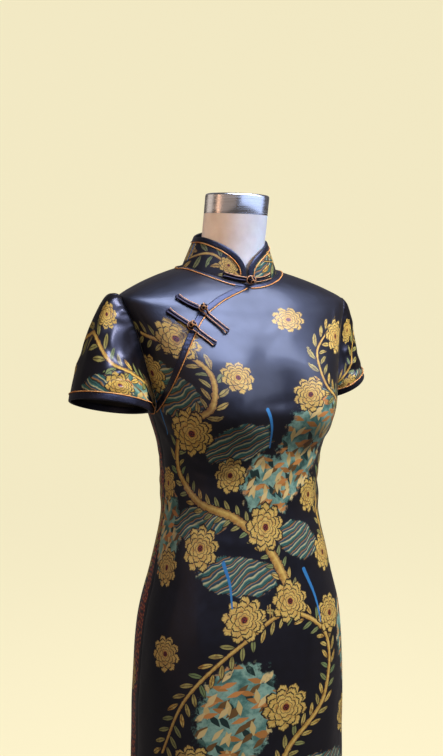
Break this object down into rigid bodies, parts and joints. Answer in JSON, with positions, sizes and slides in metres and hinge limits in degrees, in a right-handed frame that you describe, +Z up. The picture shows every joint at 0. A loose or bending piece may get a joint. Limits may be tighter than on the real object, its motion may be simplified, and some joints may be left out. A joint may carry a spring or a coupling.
{
  "type": "cheongsam dress on dress form",
  "caption": "Short-sleeved cheongsam with stand collar, curved side opening with knot-and-loop closures and side slits, worn on a limbless dress form on a pole stand.",
  "frame": {"origin": "centre of the underside of the form's round base, where it rests on the floor", "axes": "+Z up along the pole, the dress faces -Y, its wearer's right side is towards -X"},
  "size_m": [0.5191, 0.36, 1.5362],
  "materials": {
    "satin": "satin weave with a printed design of gold, teal and blue",
    "binding": "black bias satin",
    "piping": "orange-gold satin cord",
    "frog": "black covered cord with a copper edge",
    "form_skin": "smooth pale skin",
    "steel": "brushed"
  },
  "bodies": {
    "root": {"front_panel": "satin", "front_shoulder_right": "satin", "back_panel": "satin", "sleeve_left": "satin", "sleeve_right": "satin", "collar": "satin", "binding_collar": "binding", "binding_neck": "binding", "binding_diagonal": "binding", "binding_cuff_left": "binding", "binding_cuff_right": "binding", "binding_hem_front": "binding", "binding_hem_back": "binding", "piping_collar": "piping", "piping_neck": "piping", "piping_diagonal": "piping", "piping_cuff_left": "piping", "piping_cuff_right": "piping", "piping_hem_front": "piping", "piping_hem_back": "piping", "frog_collar_knot": "frog", "frog_collar_loop": "frog", "frog_upper_knot": "frog", "frog_upper_loop": "frog", "frog_lower_knot": "frog", "frog_lower_loop": "frog", "form_torso": "form_skin", "form_neck_cap": "steel", "form_pole": "steel", "form_base": "steel"}
  },
  "joints": []
}
